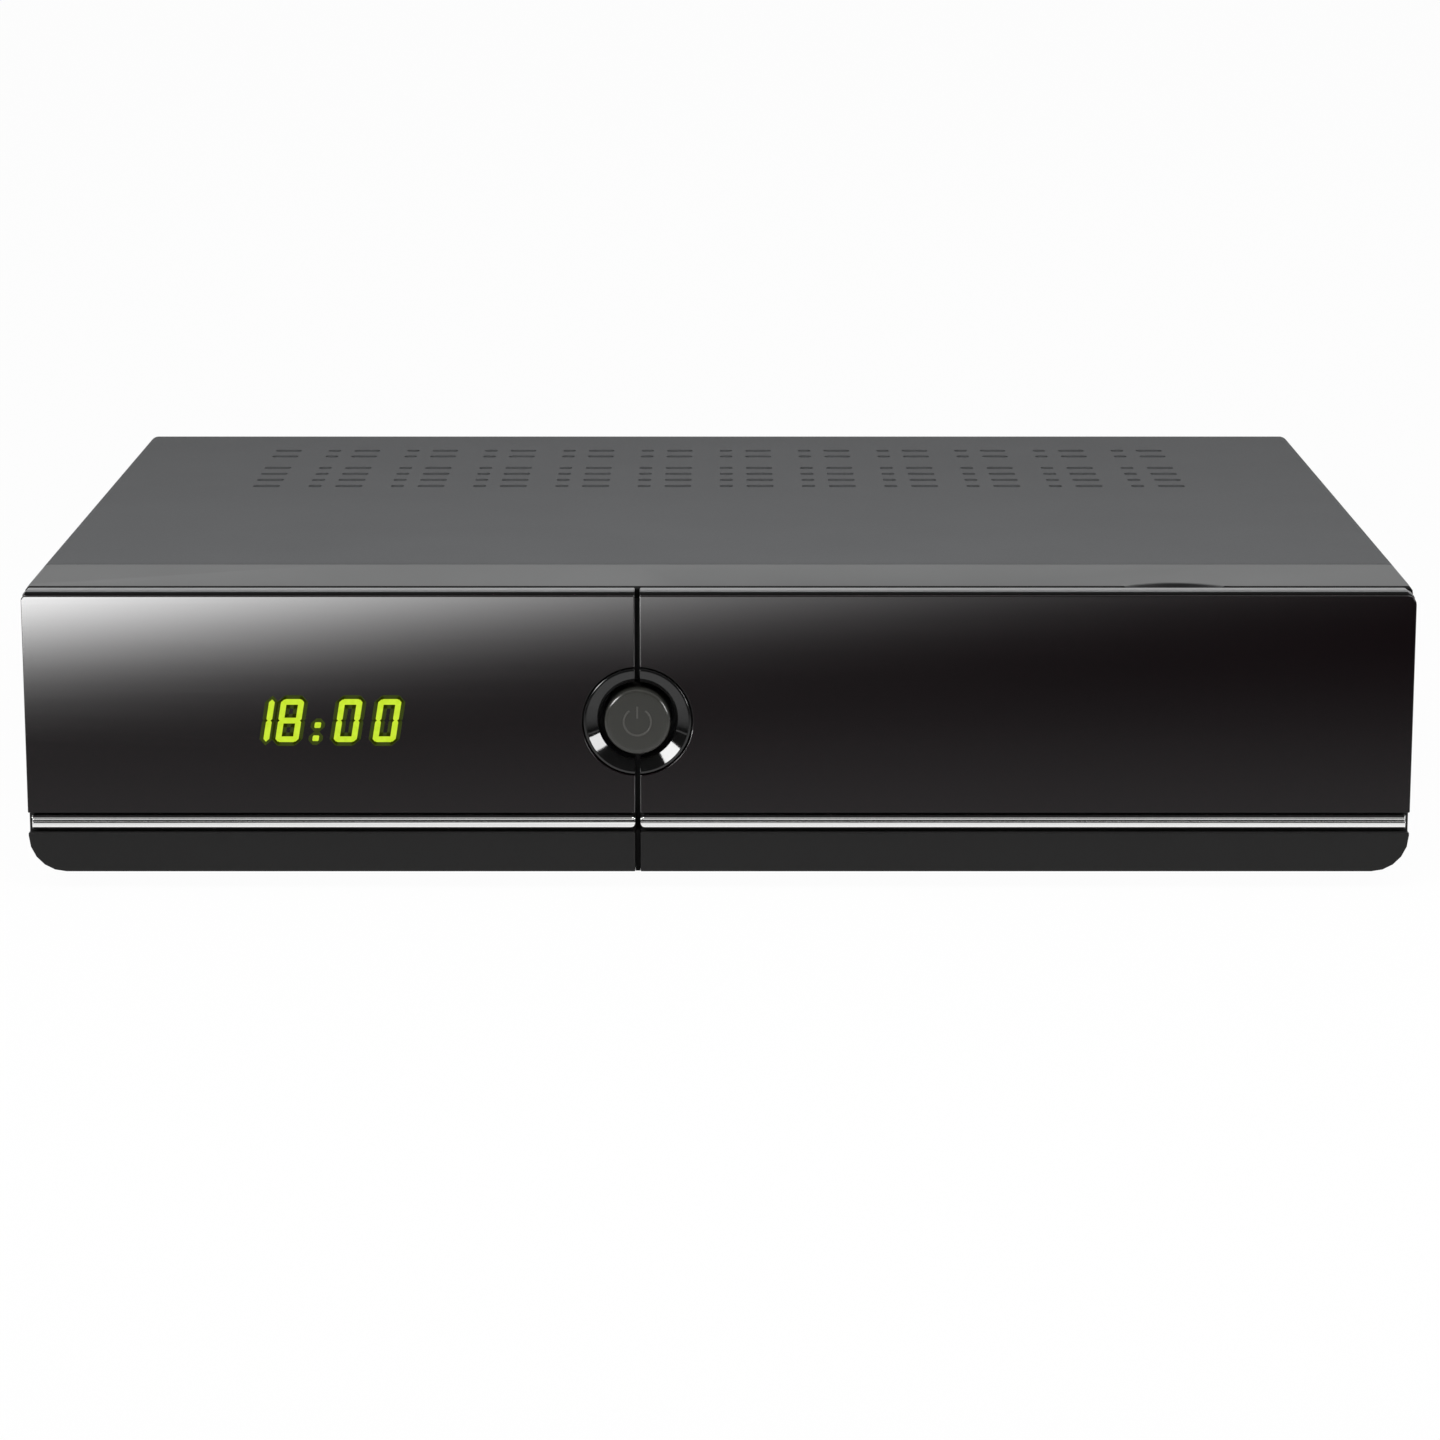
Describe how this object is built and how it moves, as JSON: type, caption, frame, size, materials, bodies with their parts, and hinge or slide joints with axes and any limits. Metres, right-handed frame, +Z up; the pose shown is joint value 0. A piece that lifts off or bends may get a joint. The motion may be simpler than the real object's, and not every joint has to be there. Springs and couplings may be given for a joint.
{
  "type": "satellite television receiver",
  "caption": "Low wide steel box with a gloss front: display on the left, power button on the seam, flap door on the right, bright strip below, sockets at the rear.",
  "frame": {"origin": "middle of the box seen from above, on the surface that the feet stand on", "axes": "+X to the right seen from the front, +Y from the front to the rear, +Z up"},
  "size_m": [0.3034, 0.2314, 0.0668],
  "materials": {
    "cover_paint": "fine textured dark grey paint",
    "bare_steel": "zinc plated sheet",
    "bezel_plastic": "smooth satin grey",
    "band_plastic": "satin black",
    "gloss_panel": "gloss black with a brushed print behind",
    "bright_strip": "bright metallised",
    "ring_gloss": "piano black",
    "cap_plastic": "satin",
    "rubber": "matte",
    "circuit_board": "solder mask",
    "black_plastic": "moulded",
    "grey_plastic": "moulded",
    "tin": "tinned",
    "aluminium": "extruded",
    "winding_tape": "polyester tape",
    "jack_yellow": "moulded",
    "jack_white": "moulded",
    "jack_red": "moulded",
    "glass": "clear"
  },
  "bodies": {
    "case": {"top_cover": "cover_paint", "base_pan": "bare_steel", "rear_panel": "bare_steel", "front_bezel": "bezel_plastic", "fascia_frame": "band_plastic", "fascia_lens": "gloss_panel", "fascia_trim_strip": "bright_strip", "power_ring_left": "ring_gloss", "door_catch_magnet": "tin", "front_pcb": "circuit_board", "display_module": "black_plastic", "ir_receiver": "black_plastic", "front_usb_socket": "tin", "card_reader": "black_plastic", "ribbon_cable": "grey_plastic", "main_pcb": "circuit_board", "processor_heatsink": "aluminium", "tuner_can": "tin", "satellite_input": "tin", "satellite_loop_output": "tin", "hdmi_socket": "tin", "ethernet_socket": "tin", "scart_socket": "black_plastic", "video_jack": "jack_yellow", "audio_jack_left": "jack_white", "audio_jack_right": "jack_red", "psu_pcb": "circuit_board", "psu_insulator": "grey_plastic", "transformer": "winding_tape", "bulk_capacitor": "black_plastic", "line_choke": "winding_tape", "fuse": "glass", "mains_inlet": "black_plastic", "power_switch_housing": "black_plastic", "power_harness": "grey_plastic", "foot_front_left": "rubber", "side_screw_left_front": "bare_steel", "foot_front_right": "rubber", "side_screw_right_front": "bare_steel", "foot_rear_left": "rubber", "side_screw_left_rear": "bare_steel", "foot_rear_right": "rubber", "side_screw_right_rear": "bare_steel", "rear_screw_left": "bare_steel", "rear_screw_middle": "bare_steel", "rear_screw_right": "bare_steel"},
    "door": {"door_frame": "band_plastic", "door_lens": "gloss_panel", "door_trim_strip": "bright_strip", "power_ring_right": "ring_gloss", "door_hinge_pin_left": "bare_steel", "door_hinge_pin_right": "bare_steel"},
    "power_button": {"power_button": "cap_plastic"},
    "power_rocker": {"power_switch_rocker": "black_plastic"},
    "key_menu": {"key_menu": "cap_plastic"},
    "key_ok": {"key_ok": "cap_plastic"},
    "key_volume_down": {"key_volume_down": "cap_plastic"},
    "key_volume_up": {"key_volume_up": "cap_plastic"},
    "key_channel_down": {"key_channel_down": "cap_plastic"},
    "key_channel_up": {"key_channel_up": "cap_plastic"}
  },
  "joints": [
    {"name": "door_hinge", "type": "hinge", "parent": "case", "child": "door", "pos_m": [0.06648, -0.1113, 0.0076], "axis": [1, 0, 0], "range_deg": [0, 90]},
    {"name": "power_button_press", "type": "slide", "parent": "case", "child": "power_button", "axis": [0, 1, 0], "range_m": [0, 0.0008], "stiffness_N_per_m": 800, "springref_m": -0.0005},
    {"name": "power_rocker_tilt", "type": "hinge", "parent": "case", "child": "power_rocker", "pos_m": [-0.088, 0.1063, 0.04], "axis": [1, 0, 0], "range_deg": [0, 22]},
    {"name": "key_menu_press", "type": "slide", "parent": "case", "child": "key_menu", "axis": [0, 1, 0], "range_m": [0, 0.0008], "stiffness_N_per_m": 600, "springref_m": -0.0005},
    {"name": "key_ok_press", "type": "slide", "parent": "case", "child": "key_ok", "axis": [0, 1, 0], "range_m": [0, 0.0008], "stiffness_N_per_m": 600, "springref_m": -0.0005},
    {"name": "key_volume_down_press", "type": "slide", "parent": "case", "child": "key_volume_down", "axis": [0, 1, 0], "range_m": [0, 0.0008], "stiffness_N_per_m": 600, "springref_m": -0.0005},
    {"name": "key_volume_up_press", "type": "slide", "parent": "case", "child": "key_volume_up", "axis": [0, 1, 0], "range_m": [0, 0.0008], "stiffness_N_per_m": 600, "springref_m": -0.0005},
    {"name": "key_channel_down_press", "type": "slide", "parent": "case", "child": "key_channel_down", "axis": [0, 1, 0], "range_m": [0, 0.0008], "stiffness_N_per_m": 600, "springref_m": -0.0005},
    {"name": "key_channel_up_press", "type": "slide", "parent": "case", "child": "key_channel_up", "axis": [0, 1, 0], "range_m": [0, 0.0008], "stiffness_N_per_m": 600, "springref_m": -0.0005}
  ]
}
